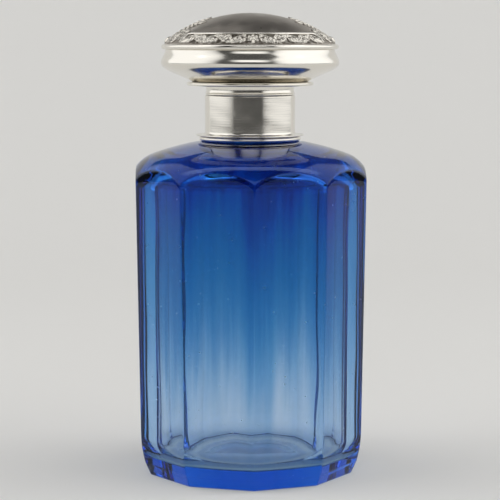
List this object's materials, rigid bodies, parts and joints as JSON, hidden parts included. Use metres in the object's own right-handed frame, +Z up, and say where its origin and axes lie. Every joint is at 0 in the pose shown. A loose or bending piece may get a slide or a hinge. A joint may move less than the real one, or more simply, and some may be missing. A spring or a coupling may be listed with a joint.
{
  "type": "aftershave bottle",
  "caption": "Facet-cut cologne bottle in glass that fades from blue to clear, with a silver collar and a lift-out ground stopper under a mushroom cap with leaf ornament.",
  "frame": {"origin": "middle of the foot, on the plane the bottle stands on", "axes": "+Z up along the bottle's axis; -Y is the front, where one cut edge faces straight ahead and the border of the cap has its rosette; the two shells of the cap lie along +X and -X"},
  "size_m": [0.0684, 0.0718, 0.1377],
  "materials": {
    "blue_glass": "polished",
    "ground_glass": "matte",
    "silver": "polished",
    "silver_satin": "satin",
    "silver_chased": "gloss",
    "plaster": "matte"
  },
  "bodies": {
    "bottle": {"glass_body": "blue_glass", "collar_cement": "plaster", "collar_sleeve": "silver", "collar_bead_ring": "silver"},
    "stopper": {"stopper_plug": "ground_glass", "cap_cement": "plaster", "cap_neck_ring": "silver", "cap_underplate": "silver", "cap_bowl": "silver", "cap_rim_moulding": "silver", "cap_dome": "silver_satin", "border_fillets": "silver", "leaf_border": "silver_chased", "shell_ornaments": "silver_chased"}
  },
  "joints": [
    {"name": "stopper_lift", "type": "slide", "parent": "bottle", "child": "stopper", "axis": [0, 0, 1], "range_m": [0, 0.04]}
  ]
}
